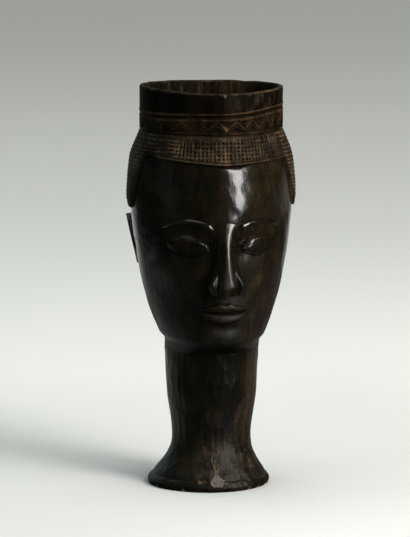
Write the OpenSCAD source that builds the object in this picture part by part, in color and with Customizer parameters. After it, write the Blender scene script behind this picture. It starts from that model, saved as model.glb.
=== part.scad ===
// Carved head cup: a drinking cup in the form of a human head on a stem and a flared foot.
// Millimetres. The origin is the centre of the flat base, +Z is up and the face looks along -Y.
// The zones of the carving are stacked: foot, neck, head, hair, collar and rim, with the ears
// and the features of the face as raised pieces seated on the bare head.

/* [Foot] */
// Largest radius of the foot, at its edge
foot_r = 38.2; // [34:0.1:46]
// Height of the rounded edge of the foot
foot_edge_h = 4.5; // [3:0.1:7]
// Height of the foot, from the base to the waist
foot_h = 26; // [20:0.5:34]
// How the flare hollows: 1 is a straight cone
flare_power = 1.4; // [1:0.05:2]

/* [Neck] */
// Radius of the waist, where foot and neck meet
waist_r = 24.6; // [20:0.1:27]
// Height of the plain waist above the foot
waist_h = 4; // [2:0.5:12]
// Radius of the neck where it has filled out
neck_swell_r = 28; // [26:0.1:29]
// Height of that swell above the waist
neck_swell_h = 32; // [20:1:42]
// Radius of the neck where it meets the head
neck_top_r = 29.5; // [28:0.1:31]
// Height of the neck, from the waist to the head
neck_h = 60; // [48:1:80]

/* [Head] */
// Height of the head, from the neck to the collar
head_h = 138; // [128:1:160]
// Height above the neck at which the jaw starts to stand out at the sides
jaw_notch_h = 6; // [4:0.5:8]
// Height of the jaw corner above the neck
jaw_h = 11; // [9:0.5:14]
// Half-width of the jaw
jaw_half_w = 33; // [31.5:0.1:37]
// Height of the cheeks above the neck
cheek_h = 47; // [40:1:56]
// Half-width across the cheeks
cheek_half_w = 44.6; // [41:0.1:48]
// Height of the temples above the neck, where the head is widest
temple_h = 97; // [86:1:106]
// Half-width across the temples
temple_half_w = 50.7; // [48.5:0.1:55]
// Half-width of the bare head behind the middle of the hairline
forehead_half_w = 48.9; // [46.5:0.1:50.5]
// Height of the chin above the neck
chin_h = 9; // [7:0.5:14]
// Depth of the chin in front of the axis
chin_depth = 44.5; // [40:0.1:48]
// Height of the brow above the neck
brow_h = 80.5; // [74:0.5:90]
// Depth of the brow in front of the axis
brow_depth = 52.5; // [49:0.1:56]
// Height above the neck at which the nape starts to swell
nape_h = 8; // [5:0.5:12]
// Height of the back of the head above the neck
occiput_h = 92; // [80:1:104]
// Depth of the back of the head behind the axis
occiput_depth = 55; // [51:0.1:60]
// Shape of the front in plan: 2 is round, less gives a keel down the middle
keel_power = 1.75; // [1.6:0.05:2]

/* [Hair] */
// How far the hair stands out from the bare head
hair_t = 2.5; // [1.5:0.1:4]
// How far the top of the hair stands out from the collar
hair_reveal = 0.4; // [0:0.1:1.2]
// Depth of the pits and furrows between the ridges of the hair
hair_pit = 0.9; // [0.3:0.1:1.2]
// Depth of the hair below the collar, in the middle of the forehead
hair_front_drop = 18; // [13:0.5:24]
// Depth of the hair at the corners of the forehead
hair_temple_drop = 15; // [11:0.5:22]
// Depth of the hair above the ears
hair_side_drop = 48.5; // [40:0.5:54]
// Depth of the hair at the back of the head
hair_nape_drop = 86; // [76:1:96]
// Angle from the front to the corner of the forehead
temple_deg = 63; // [52:1:70]
// Angle from the front to the front edge of the ear's gap
ear_front_deg = 94; // [84:1:97]
// Angle from the front to the back edge of the ear's gap
ear_back_deg = 118; // [112:1:120]
// Angle from the front to the lower corner of the back hair
nape_deg = 123; // [121:1:132]

/* [Collar] */
// Height of the collar
collar_h = 14; // [11.5:0.5:16]
// Set-back of the collar from the rim
collar_step = 0.6; // [0.2:0.1:1.2]
// Teeth in the zigzag round the collar
zigzag_teeth = 24; // [18:1:36]
// Height of the band that the zigzag fills
zigzag_band_h = 7.6; // [5:0.1:8.5]
// Width of the zigzag line
zigzag_w = 1.8; // [1:0.1:2.6]
// How far the zigzag line and the mouldings stand out
carving_relief = 0.8; // [0.3:0.1:1.2]
// Width of each of the two mouldings above the zigzag
moulding_w = 1.5; // [1:0.1:1.6]

/* [Rim] */
// Height of the plain rim
rim_h = 12; // [9:0.5:18]
// Half-width of the rim
rim_half_w = 45.2; // [43:0.1:49]
// Depth of the rim's keel in front of the axis
rim_front = 47; // [44.5:0.1:50]
// Wall at the lip
rim_wall = 3; // [2:0.1:3.6]
// Depth of the hollow below the lip
hollow_depth = 150; // [110:1:156]

/* [Face] */
// Height of the eyes above the neck
eye_h = 70; // [66:0.5:72]
// Distance of each eye's middle from the middle of the face, along the surface
eye_s = 26; // [24:0.5:28]
// Half-length of an eye
eye_half_l = 14.5; // [11:0.5:15.5]
// Half-height of an eye
eye_half_h = 6; // [4:0.1:6.4]
// How far an eye stands out
eye_relief = 3; // [1:0.1:4.5]
// Distance of a brow's inner end from the middle of the face
brow_in = 8; // [7:0.5:10]
// Distance of a brow's outer end from the middle of the face
brow_out = 45; // [40:0.5:50]
// Rise of the middle of a brow above its ends
brow_arch = 4.5; // [2:0.5:6]
// Half-width of a brow
brow_half_w = 1.9; // [1:0.1:2.2]
// How far a brow stands out
brow_relief = 1.4; // [0.6:0.1:2.4]
// Height of the nose's base above the neck
nose_base_h = 41.5; // [40:0.5:46]
// Half-width of the nose between the eyes
nose_bridge_half_w = 4.2; // [3:0.1:5.5]
// Half-width of the nose across its wings
nose_wing_half_w = 12; // [8:0.5:14]
// How far the nose stands out between the eyes
nose_bridge_relief = 3; // [2:0.1:5]
// How far the tip of the nose stands out
nose_tip_relief = 11; // [7:0.5:14]
// How far the wings of the nose stand out
nose_wing_relief = 3.4; // [1:0.1:5]
// Height of the mouth line above the neck
mouth_h = 28.5; // [26:0.5:30]
// Half-width of the mouth
mouth_half_w = 17; // [12:0.5:20]
// Height of the upper lip at its middle
upper_lip_h = 5.6; // [3:0.1:6.5]
// Height of the lower lip at its middle
lower_lip_h = 6.4; // [3:0.1:8]
// How far the lips stand out
lip_relief = 5; // [2:0.1:7]

/* [Ears] */
// Height of an ear
ear_h = 32; // [24:0.5:38]
// Space between the top of an ear and the hair above it
ear_drop = 5.8; // [2:0.1:8]
// Space between an ear and the hair beside it
ear_margin = 2.2; // [1:0.1:4]
// How far the back edge of an ear stands out at the top
ear_relief = 4.6; // [2:0.1:5.5]

/* [Fits] */
// Clearance between a raised piece and the bare head behind it
seat_gap = 0.1; // [0.05:0.05:0.3]
// Thickness of a raised piece at its edge
edge_t = 0.5; // [0.3:0.1:1]

/* [Hidden] */

$fn = 96;
// Points round the rings and along the curves
COLUMNS = 72;
PROFILE_STEPS = 14;
HEAD_ROWS = 22;
HAIR_ROWS = 20;
WALL_ROWS = 8;
HOLLOW_ROWS = 14;
FINE_ROWS = 6;
FLOOR_SWEEP = 89;
// Shape factors of the raised pieces: shares of the size that each one bends
EDGE_SWEEP = 150;
EAR_LOBE_SHARE = 0.35;
EAR_FRONT_SHARE = 0.3;
EAR_HOLLOW_SHARE = 0.35;
EAR_FALL = 0.75;
EYE_SLIT_DEPTH = 0.3;
EYE_SLIT_W = 0.16;
BROW_TAPER = 0.5;
NOSE_UNDER_SHARE = 0.75;
NOSE_SPREAD = 1.3;
NOSE_ROUND = 1.6;
WING_PLACE = 0.74;
WING_SPREAD = 0.2;
LIP_LINE_SHARE = 0.45;
LIP_FALL = 0.35;

seat_z = foot_h + neck_h;
collar_z = seat_z + head_h;
rim_z = collar_z + collar_h;
mouth_z = rim_z + rim_h;
foot_round = foot_edge_h / 2;
collar_half_w = rim_half_w - collar_step;
collar_front = rim_front - collar_step;
crown_half_w = collar_half_w + hair_reveal - hair_t;
crown_front = collar_front + hair_reveal - hair_t;
lips_depth = chin_depth + (brow_depth - chin_depth) / 8;
ear_deg = (ear_front_deg + ear_back_deg) / 2;
ear_top_h = head_h - hair_side_drop - ear_drop;

WIDTHS = [[0, neck_top_r], [jaw_notch_h, neck_top_r], [jaw_h, jaw_half_w], [cheek_h, cheek_half_w],
          [temple_h, temple_half_w], [head_h - hair_front_drop, forehead_half_w], [head_h, crown_half_w]];
FRONTS = [[0, neck_top_r], [chin_h, chin_depth], [mouth_h, lips_depth], [brow_h, brow_depth],
          [head_h, crown_front]];
BACKS = [[0, neck_top_r], [nape_h, neck_top_r], [occiput_h, occiput_depth], [head_h, crown_half_w]];
HAIRLINE = [[0, hair_front_drop], [temple_deg, hair_temple_drop], [ear_front_deg, hair_side_drop],
            [ear_back_deg, hair_side_drop], [nape_deg, hair_nape_drop], [180, hair_nape_drop]];

WOOD = "#3a2418";
DARK_WOOD = "#2a1911";
WORN_WOOD = "#5a3a26";
PALE_WOOD = "#6e4a31";

// Smooth curve through points [x, y] that never swings past them.
function slope(p, i) = (p[i + 1][1] - p[i][1]) / (p[i + 1][0] - p[i][0]);
function mean_slope(a, b) = a * b <= 0 ? 0 : 2 * a * b / (a + b);
function tangent(p, i) = i == 0 ? slope(p, 0)
                       : i == len(p) - 1 ? slope(p, i - 1)
                       : mean_slope(slope(p, i - 1), slope(p, i));
function segment(p, x, i = 0) = i >= len(p) - 2 || x < p[i + 1][0] ? i : segment(p, x, i + 1);
function hermite(p, i, w, t) = p[i][1] * (1 + 2 * t) * pow(1 - t, 2)
                             + w * tangent(p, i) * t * pow(1 - t, 2)
                             + p[i + 1][1] * t * t * (3 - 2 * t)
                             + w * tangent(p, i + 1) * t * t * (t - 1);
function curve(p, x) = let (i = segment(p, x), w = p[i + 1][0] - p[i][0])
                       hermite(p, i, w, (x - p[i][0]) / w);

// Plan of a section at an angle from the front: keeled before the axis, round behind it.
function plan(deg, half_w, front, back, power) =
    let (depth = cos(deg) > 0 ? front : back, p = cos(deg) > 0 ? power : 2)
    pow(pow(abs(sin(deg)) / half_w, p) + pow(abs(cos(deg)) / depth, p), -1 / p);

// Radius of the bare head at an angle from the front and a height above the neck.
function front_power(h) = 2 - (2 - keel_power) * min(1, h / brow_h);
function skin(deg, h) = plan(deg, curve(WIDTHS, h), curve(FRONTS, h), curve(BACKS, h), front_power(h));

// Radius of the hollow at a height above the base: the lip's inner plan, closing to a round floor.
function hollow_share(z) = sqrt(max(0, 1 - pow((mouth_z - z) / hollow_depth, 3)));
function lip(deg) = plan(deg, rim_half_w, rim_front, rim_half_w, keel_power) - rim_wall;
function hollow(deg, z) = lip(deg) * hollow_share(z);

function hairline(deg) = head_h - lookup(min(deg, 360 - deg), HAIRLINE);
function at(deg, r, z) = [r * sin(deg), -r * cos(deg), z];

// Faces between columns of points; the other diagonal can be asked for.
function patch_faces(a, b, c, d, other) = other ? [[a, b, d], [d, b, c]] : [[a, b, c], [a, c, d]];

// A ring whose section is a closed loop of points, one loop for each angle.
module ring_loft(loops, other = false) {
    n = len(loops);
    m = len(loops[0]);
    points = [for (loop = loops) for (p = loop) p];
    faces = [for (j = [0 : n - 1]) for (i = [0 : m - 1])
             let (k = (j + 1) % n, u = (i + 1) % m)
             for (f = patch_faces(j * m + i, j * m + u, k * m + u, k * m + i, other)) f];
    polyhedron(points, faces);
}

// A solid whose section runs from a point on the axis, round the outside, to another on the axis.
module bowl_loft(first, loops, last) {
    n = len(loops);
    m = len(loops[0]);
    points = concat([first, last], [for (loop = loops) for (p = loop) p]);
    walls = [for (j = [0 : n - 1]) for (i = [0 : m - 2])
             let (k = (j + 1) % n, a = 2 + j * m + i, d = 2 + k * m + i)
             for (f = patch_faces(a, a + 1, d + 1, d, false)) f];
    ends = [for (j = [0 : n - 1])
            let (k = (j + 1) % n)
            for (f = [[0, 2 + j * m, 2 + k * m], [2 + j * m + m - 1, 1, 2 + k * m + m - 1]]) f];
    polyhedron(points, concat(walls, ends));
}

// A raised piece on the bare head. place(u, v) gives its point along the surface and its height,
// with u and v from 0 to 1; relief(u, v) gives how far it stands out there.
function on_head(s, h, out) =
    let (deg = s * 180 / (PI * brow_depth))
    at(deg, skin(deg, h) + out, seat_z + h);

module raised(nu, nv, place, relief) {
    row = nv + 1;
    count = (nu + 1) * row;
    outside = [for (i = [0 : nu]) for (j = [0 : nv])
               let (u = i / nu, v = j / nv, p = place(u, v))
               on_head(p[0], p[1], seat_gap + edge_t + relief(u, v))];
    seat = [for (i = [0 : nu]) for (j = [0 : nv])
            let (p = place(i / nu, j / nv))
            on_head(p[0], p[1], seat_gap)];
    skins = [for (i = [0 : nu - 1]) for (j = [0 : nv - 1])
             let (a = i * row + j, b = a + 1, d = a + row, c = d + 1)
             for (f = concat(patch_faces(a, b, c, d, false),
                             patch_faces(count + a, count + d, count + c, count + b, true))) f];
    sides = [for (i = [0 : nu - 1]) for (j = [0, nv])
             let (a = i * row + j, d = a + row)
             for (f = j == 0 ? patch_faces(a, d, count + d, count + a, false)
                             : patch_faces(a, count + a, count + d, d, false)) f];
    ends = [for (j = [0 : nv - 1]) for (i = [0, nu])
            let (a = i * row + j, b = a + 1)
            for (f = i == 0 ? patch_faces(a, count + a, count + b, b, false)
                            : patch_faces(a, b, count + b, count + a, false)) f];
    polyhedron(concat(outside, seat), concat(skins, sides, ends));
}

// The flared foot: a flat base, a rounded edge and a hollowing flare up to the waist.
module foot() {
    flare_r = foot_r - foot_round * (1 - cos(EDGE_SWEEP - 90));
    edge = [for (i = [0 : PROFILE_STEPS])
            let (a = -90 + EDGE_SWEEP * i / PROFILE_STEPS)
            [foot_r - foot_round * (1 - cos(a)), foot_round * (1 + sin(a))]];
    edge_top = foot_round * (1 + sin(EDGE_SWEEP - 90));
    flare = [for (i = [1 : PROFILE_STEPS])
             let (t = 1 - i / PROFILE_STEPS)
             [waist_r + (flare_r - waist_r) * pow(t, flare_power), foot_h - t * (foot_h - edge_top)]];
    color(WORN_WOOD) rotate_extrude() polygon(concat([[0, 0]], edge, flare, [[0, foot_h]]));
}

// The solid neck that serves as the grip, swelling from the waist to the head.
module neck() {
    profile = [[0, waist_r], [waist_h, waist_r], [neck_swell_h, neck_swell_r], [neck_h, neck_top_r]];
    side = [for (i = [0 : PROFILE_STEPS])
            let (h = neck_h * i / PROFILE_STEPS)
            [curve(profile, h), foot_h + h]];
    color(WOOD) rotate_extrude() polygon(concat([[0, foot_h]], side, [[0, seat_z]]));
}

// Heights of the rows of points up the bare head: close together at the jaw, then even.
function head_row(i, top) = i <= FINE_ROWS
                          ? jaw_h * i / FINE_ROWS
                          : jaw_h + (top - jaw_h) * (i - FINE_ROWS) / (HEAD_ROWS - FINE_ROWS);

// The bare head below the hairline, with the lower part of the hollow in it.
module head() {
    floor_z = mouth_z - hollow_depth;
    loops = [for (j = [0 : COLUMNS - 1])
             let (deg = 360 * j / COLUMNS, top = hairline(deg))
             concat([for (i = [0 : HEAD_ROWS])
                     let (h = head_row(i, top))
                     at(deg, skin(deg, h), seat_z + h)],
                    [for (i = [0 : HOLLOW_ROWS])
                     let (z = seat_z + top - (seat_z + top - floor_z) * sin(FLOOR_SWEEP * i / HOLLOW_ROWS))
                     at(deg, hollow(deg, z), z)])];
    color(WOOD) bowl_loft([0, 0, seat_z], loops, [0, 0, floor_z]);
}

// How deep the hair is cut at a point of row i and column j: pits between the ridges of a net at
// the front and the back, and furrows along the rows at the sides. Its edges stay plain.
function at_side(deg) = min(deg, 360 - deg) > temple_deg && min(deg, 360 - deg) < nape_deg;
function hair_cut(deg, i, j) = (i % 2) * (at_side(deg) ? 1 : j % 2) * hair_pit;

// The cap of hair: it stands out from the bare head, and its lower edge is the hairline.
module hair() {
    loops = [for (j = [0 : COLUMNS - 1])
             let (deg = 360 * j / COLUMNS, low = hairline(deg))
             concat([at(deg, hollow(deg, seat_z + low), seat_z + low)],
                    [at(deg, skin(deg, low), seat_z + low)],
                    [for (i = [0 : HAIR_ROWS])
                     let (h = low + (head_h - low) * i / HAIR_ROWS)
                     at(deg, skin(deg, h) + hair_t - hair_cut(deg, i, j), seat_z + h)],
                    [for (i = [0 : WALL_ROWS - 1])
                     let (h = head_h - (head_h - low) * i / WALL_ROWS)
                     at(deg, hollow(deg, seat_z + h), seat_z + h)])];
    color(DARK_WOOD) ring_loft(loops, true);
}

// The collar: a zigzag line in relief between a plain edge and two mouldings.
module collar() {
    n = 2 * zigzag_teeth;
    swing = zigzag_band_h - zigzag_w;
    loops = [for (j = [0 : n - 1])
             let (deg = 360 * j / n,
                  r = plan(deg, collar_half_w, collar_front, collar_half_w, keel_power),
                  out = r + carving_relief,
                  line = (collar_h - 2 * moulding_w - zigzag_band_h) / 2 + (j % 2) * swing,
                  top = collar_h - 2 * moulding_w)
             concat([at(deg, hollow(deg, collar_z), collar_z), at(deg, r, collar_z)],
                    [at(deg, r, collar_z + line), at(deg, out, collar_z + line + zigzag_w / 3)],
                    [at(deg, out, collar_z + line + zigzag_w * 2 / 3)],
                    [at(deg, r, collar_z + line + zigzag_w)],
                    [for (k = [0, 1]) for (p = [[0, r], [1 / 3, out], [2 / 3, out]])
                     at(deg, p[1], collar_z + top + moulding_w * (k + p[0]))],
                    [at(deg, r, rim_z), at(deg, hollow(deg, rim_z), rim_z)])];
    color(WORN_WOOD) ring_loft(loops);
}

// The plain rim of the cup, thin at the lip.
module rim() {
    loops = [for (j = [0 : COLUMNS - 1])
             let (deg = 360 * j / COLUMNS,
                  r = plan(deg, rim_half_w, rim_front, rim_half_w, keel_power),
                  soft = rim_wall / 4)
             [at(deg, hollow(deg, rim_z), rim_z), at(deg, r, rim_z), at(deg, r, mouth_z - soft),
              at(deg, r - soft, mouth_z), at(deg, lip(deg) + soft, mouth_z),
              at(deg, lip(deg), mouth_z - soft)]];
    color(PALE_WOOD) ring_loft(loops);
}

// An ear: a flat flange that stands off towards its back edge, hollowed between its edges and
// narrowing to the lobe.
module ear(side) {
    half_w = (ear_back_deg - ear_front_deg) / 2 * PI * brow_depth / 180 - ear_margin;
    mid_s = ear_deg * PI * brow_depth / 180;
    width = function (t) half_w * (EAR_LOBE_SHARE + (1 - EAR_LOBE_SHARE) * sqrt(max(0, 1 - t * t)));
    raised(10, 14,
           function (u, v) [side * mid_s + (2 * u - 1) * width(1 - v), ear_top_h - ear_h * (1 - v)],
           function (u, v) let (t = side > 0 ? u : 1 - u)
               ear_relief * (1 - EAR_FALL * (1 - v)) * (EAR_FRONT_SHARE + (1 - EAR_FRONT_SHARE) * t)
               * (EAR_HOLLOW_SHARE + (1 - EAR_HOLLOW_SHARE) * pow(2 * u - 1, 2)));
}

// An eye: an almond-shaped swelling with a slit, a little higher at its outer corner.
module eye(side) {
    slit = function (y) 1 - EYE_SLIT_DEPTH * exp(-pow(y / EYE_SLIT_W, 2));
    raised(14, 12,
           function (u, v) let (x = 2 * u - 1)
               [side * eye_s + eye_half_l * x,
                eye_h + side * x + (2 * v - 1) * (eye_half_h * (1 - x * x) + edge_t)],
           function (u, v) let (y = 2 * v - 1)
               eye_relief * sqrt(4 * u * (1 - u)) * sqrt(max(0, 1 - y * y)) * slit(y));
}

// A brow: a narrow arched ridge from beside the nose to the temple.
module brow(side) {
    raised(16, 6,
           function (u, v) let (t = side > 0 ? u : 1 - u)
               [side * (brow_in + (brow_out - brow_in) * t),
                brow_h + brow_arch * sin(180 * t) + (2 * v - 1) * brow_half_w * (1 - BROW_TAPER * t)],
           function (u, v) brow_relief * (1 - pow(2 * v - 1, 2)));
}

// The nose: a ridge that rises from between the brows to the tip and spreads into two wings.
module nose_form() {
    length = brow_h - nose_base_h;
    widths = [[0, nose_wing_half_w * NOSE_UNDER_SHARE], [length / 6, nose_wing_half_w],
              [length / 2, nose_bridge_half_w * NOSE_SPREAD], [length, nose_bridge_half_w]];
    ridge = [[0, nose_tip_relief * NOSE_UNDER_SHARE], [length / 6, nose_tip_relief],
             [length, nose_bridge_relief]];
    wings = [[0, nose_wing_relief * NOSE_UNDER_SHARE], [length / 6, nose_wing_relief],
             [length / 2, 0], [length, 0]];
    raised(16, 18,
           function (u, v) [(2 * u - 1) * curve(widths, length * v), nose_base_h + length * v],
           function (u, v) let (x = abs(2 * u - 1), h = length * v)
               curve(ridge, h) * (1 - pow(x, NOSE_ROUND))
               + curve(wings, h) * exp(-pow((x - WING_PLACE) / WING_SPREAD, 2)));
}

// A lip: it swells from the mouth line (rise 1 upwards, -1 downwards) and dies out at the corners.
module lip_form(rise, height) {
    raised(18, 8,
           function (u, v) let (x = 2 * u - 1, t = rise > 0 ? v : 1 - v)
               [mouth_half_w * x,
                mouth_h + rise * (seat_gap + edge_t / 2 + t * (edge_t + height * (1 - x * x)))],
           function (u, v) let (t = rise > 0 ? v : 1 - v)
               lip_relief * sqrt(4 * u * (1 - u)) * (1 - LIP_FALL * t)
               * (LIP_LINE_SHARE + (1 - LIP_LINE_SHARE) * sin(180 * t)));
}

module left_ear() {
    color(WOOD) ear(1);
}

module right_ear() {
    color(WOOD) ear(-1);
}

module left_eye() {
    color(DARK_WOOD) eye(1);
}

module right_eye() {
    color(DARK_WOOD) eye(-1);
}

module left_brow() {
    color(WORN_WOOD) brow(1);
}

module right_brow() {
    color(WORN_WOOD) brow(-1);
}

module upper_lip() {
    color(WORN_WOOD) lip_form(1, upper_lip_h);
}

module lower_lip() {
    color(WORN_WOOD) lip_form(-1, lower_lip_h);
}

module nose() {
    color(WORN_WOOD) nose_form();
}

foot();
neck();
head();
hair();
collar();
rim();
left_ear();
right_ear();
left_eye();
right_eye();
left_brow();
right_brow();
nose();
upper_lip();
lower_lip();
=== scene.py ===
# A drinking cup in the form of a human head, carved from one block of dark hardwood.
# The frame is in metres, with its origin at the centre of the flat base, +Z up and the face along -Y.
# Sizes here are in millimetres, and angles in degrees from the front, positive towards +X.
import math

import bpy
import numpy as np
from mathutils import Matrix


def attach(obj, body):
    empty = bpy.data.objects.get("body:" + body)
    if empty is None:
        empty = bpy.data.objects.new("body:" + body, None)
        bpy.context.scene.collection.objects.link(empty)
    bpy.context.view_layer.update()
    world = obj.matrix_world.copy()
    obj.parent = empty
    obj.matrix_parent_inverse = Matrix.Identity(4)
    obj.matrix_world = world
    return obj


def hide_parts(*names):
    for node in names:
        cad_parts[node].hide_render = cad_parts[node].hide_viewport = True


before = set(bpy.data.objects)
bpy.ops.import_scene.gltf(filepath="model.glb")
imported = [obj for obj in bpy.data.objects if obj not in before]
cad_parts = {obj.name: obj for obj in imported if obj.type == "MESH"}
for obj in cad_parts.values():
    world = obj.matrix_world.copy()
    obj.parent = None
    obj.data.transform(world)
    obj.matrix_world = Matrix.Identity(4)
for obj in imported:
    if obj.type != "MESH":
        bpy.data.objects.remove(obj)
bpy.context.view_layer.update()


# Foot: the flared base of the cup, of the block's dark hardwood, cut with an adze and a knife.
# It is fuller on one side, its edge is rubbed, and an old flake has split off the front.
MM = 0.001
# A blank is spun in sectors, and points of it closer than a seam, or later a sliver, become one.
SECTORS, SEAM, SLIVER = 12, 0.005, 0.001
FOOT_R, FOOT_H, WAIST_R = 38.2, 26.0, 24.6
FLARE_R, FLARE_Z, FLARE_POWER = 36.7, 5.6, 1.4
FOOT_EDGE = [(37.0, 0), (37.5, 0.15), (37.8, 0.6), (38.0, 1.3), (FOOT_R, 2.2), (FOOT_R, 3.0), (38.0, 3.8),
             (37.6, 4.5), (37.1, 5.1), (FLARE_R, FLARE_Z)]
FULLER_SIDE, FULLER_BY = -100, 2.0
ARRIS_Z, ARRIS_DEEP, GRIME_Z, GRIME_DEEP, LINE_TALL = 5.2, 0.5, 4.5, 0.4, 0.7
# The flake's edges as (height, millimetres from its middle towards +X), its depth, and how pale its wood
# is: newly split wood, and partly a painted highlight of its facets.
FLAKE_DEG, FLAKE_LOW, FLAKE_H = -4.0, 3.0, 20.5
FLAKE_LEFT = [(3.2, 2.4), (3.5, -0.4), (3.9, -3.1), (5.9, -4.9), (7.2, -3.8), (8.4, -3.2), (9.5, -2.0),
              (11.5, -1.0), (13, -1.4), (15, -2.2), (18.5, -4.0), (FLAKE_H, -3.6)]
FLAKE_RIGHT = [(3.2, 3.0), (3.7, 3.8), (5.2, 4.6), (7.0, 6.0), (7.6, 5.6), (8.1, 3.2), (9.2, 2.2),
               (11.5, 1.6), (13, 2.2), (17, 3.2), (18, 1.0), (FLAKE_H, -3.0)]
FLAKE_DEPTH = [(FLAKE_LOW, 0.5), (4.0, 1.0), (6.5, 0.9), (8.5, 0.45), (FLAKE_H, 0.25)]
FLAKE_PALE_AND_GLINT = [(FLAKE_LOW, 0.95), (3.6, 1), (7.4, 0.97), (9.0, 0.82), (13, 0.74), (16, 0.5), (FLAKE_H, 0.42)]
# Scuffs as angle, height, half length, half height and how pale. Nicks as angle, half length and depth.
SCUFFS = [(-19.5, 6.2, 3.0, 0.9, 0.8), (23, 9.6, 4.4, 3.0, 0.42), (33, 6.0, 2.4, 0.8, 0.4),
          (14, 14.5, 3.5, 3.0, 0.36), (55, 6.0, 2.2, 1.0, 0.4), (-50, 5.8, 4.4, 0.7, 0.3),
          (46, 15, 5.0, 5.0, 0.36), (96, 5.6, 4.0, 1.2, 0.5), (150, 5.8, 5.0, 1.1, 0.6),
          (-135, 5.4, 4.0, 1.2, 0.55), (4, 5.4, 2.0, 0.7, 0.6)]
NICKS = [(31, 1.6, 0.7), (44, 1.1, 0.5), (63, 1.8, 0.8), (-37, 1.2, 0.5), (-70, 1.7, 0.6), (120, 2.2, 0.9),
         (-160, 1.9, 0.8)]
SCUFF_DEEP, NICK_TALL, NICK_PALE = 0.15, 2.4, 0.7


def lathe(name, profile, columns):
    """A turned blank: a line of (radius, height) points, spun through a sector that is copied round."""
    bpy.ops.object.select_all(action="DESELECT")
    bpy.ops.mesh.primitive_plane_add(size=MM)
    piece = bpy.context.object
    piece.name = piece.data.name = name
    bpy.ops.object.mode_set(mode="EDIT")
    bpy.ops.mesh.merge(type="CENTER")
    bpy.ops.transform.translate(value=(0, profile[0][0] * MM, profile[0][1] * MM))
    for (r0, z0), (r1, z1) in zip(profile, profile[1:]):
        move = (0, (r1 - r0) * MM, (z1 - z0) * MM)
        bpy.ops.mesh.extrude_vertices_move(TRANSFORM_OT_translate={"value": move})
    bpy.ops.mesh.select_all(action="SELECT")
    sector = math.tau / SECTORS
    bpy.ops.mesh.spin(steps=columns // SECTORS, angle=sector, center=(0, 0, 0), axis=(0, 0, 1))
    bpy.ops.mesh.select_all(action="SELECT")
    bpy.ops.mesh.spin(steps=SECTORS - 1, dupli=True, angle=math.tau - sector, center=(0, 0, 0),
                      axis=(0, 0, 1))
    bpy.ops.mesh.select_all(action="SELECT")
    bpy.ops.mesh.remove_doubles(threshold=SEAM * MM)
    bpy.ops.object.mode_set(mode="OBJECT")
    return piece


def face_out(piece):
    """Point a closed piece's faces outwards: all alike, then turned over if its volume is below zero."""
    bpy.ops.object.mode_set(mode="EDIT")
    bpy.ops.mesh.select_all(action="SELECT")
    bpy.ops.mesh.normals_make_consistent(inside=False)
    bpy.ops.object.mode_set(mode="OBJECT")
    mesh = piece.data
    mesh.calc_loop_triangles()
    points, corners = np.empty(3 * len(mesh.vertices)), np.empty(3 * len(mesh.loop_triangles), np.int32)
    mesh.vertices.foreach_get("co", points)
    mesh.loop_triangles.foreach_get("vertices", corners)
    a, b, c = points.reshape(-1, 3)[corners.reshape(-1, 3).T]
    if np.einsum("ij,ij", a, np.cross(b, c)) < 0:
        mesh.flip_normals()


def carve(piece, cut):
    """Cut a blank: cut takes each point's x, y and z, and gives its new place and its wear.

    Wear is below 0 for grime and for painted shade, above 0 where the wood is rubbed and where highlights
    and light are painted on, and near 1 where it has split."""
    mesh = piece.data
    points = np.empty(3 * len(mesh.vertices))
    mesh.vertices.foreach_get("co", points)
    x, y, z, wear = cut(*(points.reshape(-1, 3).T / MM))
    mesh.vertices.foreach_set("co", (np.stack([x, y, z], 1) * MM).ravel())
    mesh.attributes.new("wear", "FLOAT", "POINT").data.foreach_set("value", np.clip(wear, -1, 1))
    bpy.ops.object.mode_set(mode="EDIT")
    bpy.ops.mesh.select_all(action="SELECT")
    bpy.ops.mesh.remove_doubles(threshold=SLIVER * MM)
    bpy.ops.object.mode_set(mode="OBJECT")
    face_out(piece)


def polar(x, y):
    """Angle from the front and distance from the axis."""
    return np.degrees(np.arctan2(x, -y)), np.hypot(x, y)


def around(deg, r):
    """The x and y of a point at an angle from the front and a distance from the axis."""
    return r * np.sin(np.radians(deg)), -r * np.cos(np.radians(deg))


def off(deg, other):
    """Angle from another angle, between -180 and 180."""
    return (deg - other + 180) % 360 - 180


def step(low, high, value):
    """Rises smoothly from 0 at low to 1 at high, which may be the lower of the two."""
    t = np.clip((value - low) / (high - low), 0, 1)
    return t * t * (3 - 2 * t)


def window(rise, full, wane, gone, value):
    """Rises smoothly from 0 at rise to 1 at full, and falls from 1 at wane to 0 at gone."""
    return step(rise, full, value) * step(gone, wane, value)


def hump(value, middle, width, power=2):
    """1 at middle, and falling away smoothly past width on both sides of it."""
    return np.exp(-((value - middle) / width) ** power)


def trace(points, at):
    """Height of a line drawn straight from point to point."""
    return np.interp(at, *zip(*points))


def uneven(x, y, z, size, seed, waves=14):
    """The unevenness of handwork, about -1 to 1, with swells about size across."""
    rng = np.random.default_rng(seed)
    total = 0
    for _ in range(waves):
        way = rng.normal(size=3)
        way *= math.tau / size * rng.uniform(0.6, 1.5) / np.linalg.norm(way)
        total = total + np.sin(way[0] * x + way[1] * y + way[2] * z + rng.uniform(0, math.tau))
    return total / (waves / 2)


def block_swell(x, y, z):
    """The slow unevenness that the foot and the neck share where they meet."""
    return 0.3 * uneven(x, y, z, 30, 1)


def rubbed_low(deg, x, y, z):
    """Wear in patches on the foot and the waist, least on the figure's right."""
    patches = (0.12 + 0.01 * window(4, 24, 90, 150, deg) + 0.1 * step(-0.1, 0.8, uneven(x, y, z, 9, 3))
               + 0.06 * uneven(x, y, z, 4, 9))
    return patches * step(46, 20, z) * (1 - 0.85 * window(-150, -120, -46, -26, deg))


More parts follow.
